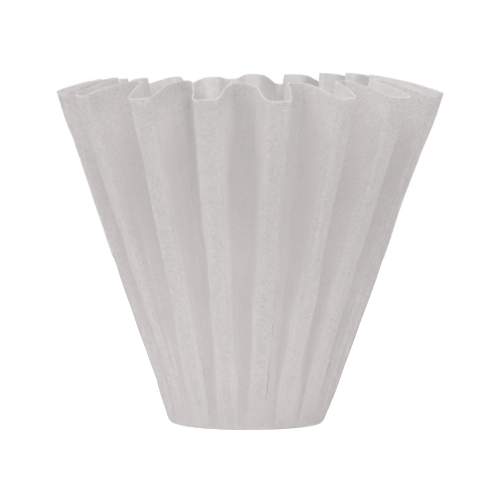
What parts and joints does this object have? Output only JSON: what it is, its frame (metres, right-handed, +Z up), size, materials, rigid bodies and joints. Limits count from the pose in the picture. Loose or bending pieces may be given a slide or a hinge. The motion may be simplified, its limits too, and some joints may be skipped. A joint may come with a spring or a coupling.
{
  "type": "paper coffee filter",
  "caption": "White paper coffee filter with a flat round bottom and a tall fluted wall that opens outwards, folded from one round sheet.",
  "frame": {"origin": "centre of the flat bottom's underside, on the surface that the filter stands on", "axes": "+Z up the inside towards the open rim, -Y towards the camera of the picture, +X to its right"},
  "size_m": [0.123, 0.1227, 0.1109],
  "materials": {
    "paper": "matt white filter paper with a fine fibre grain"
  },
  "bodies": {
    "root": {"filter_paper": "paper"}
  },
  "joints": []
}
